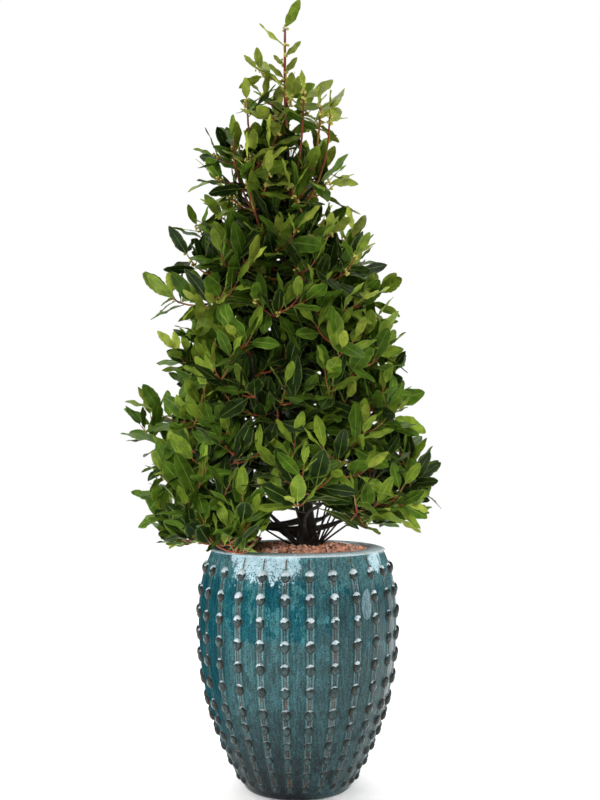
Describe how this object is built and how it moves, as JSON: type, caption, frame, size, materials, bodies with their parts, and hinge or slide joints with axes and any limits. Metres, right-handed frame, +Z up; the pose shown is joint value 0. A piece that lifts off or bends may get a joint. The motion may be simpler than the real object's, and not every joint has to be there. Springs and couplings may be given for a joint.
{
  "type": "potted bay laurel cone topiary",
  "caption": "Bay laurel grown as a tall cone, in an egg-shaped glazed planter with columns of small knobs and a clay granule top dressing.",
  "frame": {"origin": "centre of the planter's flat underside, at ground level", "axes": "+Z up along the trunk; -Y is the front, towards the camera; +X is to the right of the front"},
  "size_m": [0.694, 0.6581, 1.6589],
  "materials": {
    "glaze": "glossy teal and blue-green reactive glaze, paler at the rim, brown where it thins",
    "granules": "matt unglazed red-brown clay granules",
    "bark": "matt grey-brown bark",
    "foliage": "satin evergreen leaves on red-brown twigs"
  },
  "bodies": {
    "root": {"planter": "glaze", "granule_fill": "granules", "trunk": "bark", "bough_skirt_1": "bark", "foliage_skirt_1": "foliage", "bough_skirt_2": "bark", "foliage_skirt_2": "foliage", "bough_skirt_3": "bark", "foliage_skirt_3": "foliage", "bough_skirt_4": "bark", "foliage_skirt_4": "foliage", "bough_skirt_5": "bark", "foliage_skirt_5": "foliage", "bough_skirt_6": "bark", "foliage_skirt_6": "foliage", "bough_lower_1": "bark", "foliage_lower_1": "foliage", "bough_lower_2": "bark", "foliage_lower_2": "foliage", "bough_lower_3": "bark", "foliage_lower_3": "foliage", "bough_lower_4": "bark", "foliage_lower_4": "foliage", "bough_lower_5": "bark", "foliage_lower_5": "foliage", "bough_middle_1": "bark", "foliage_middle_1": "foliage", "bough_middle_2": "bark", "foliage_middle_2": "foliage", "bough_middle_3": "bark", "foliage_middle_3": "foliage", "bough_middle_4": "bark", "foliage_middle_4": "foliage", "bough_upper_1": "bark", "foliage_upper_1": "foliage", "bough_upper_2": "bark", "foliage_upper_2": "foliage", "bough_upper_3": "bark", "foliage_upper_3": "foliage", "foliage_leader": "foliage"}
  },
  "joints": []
}
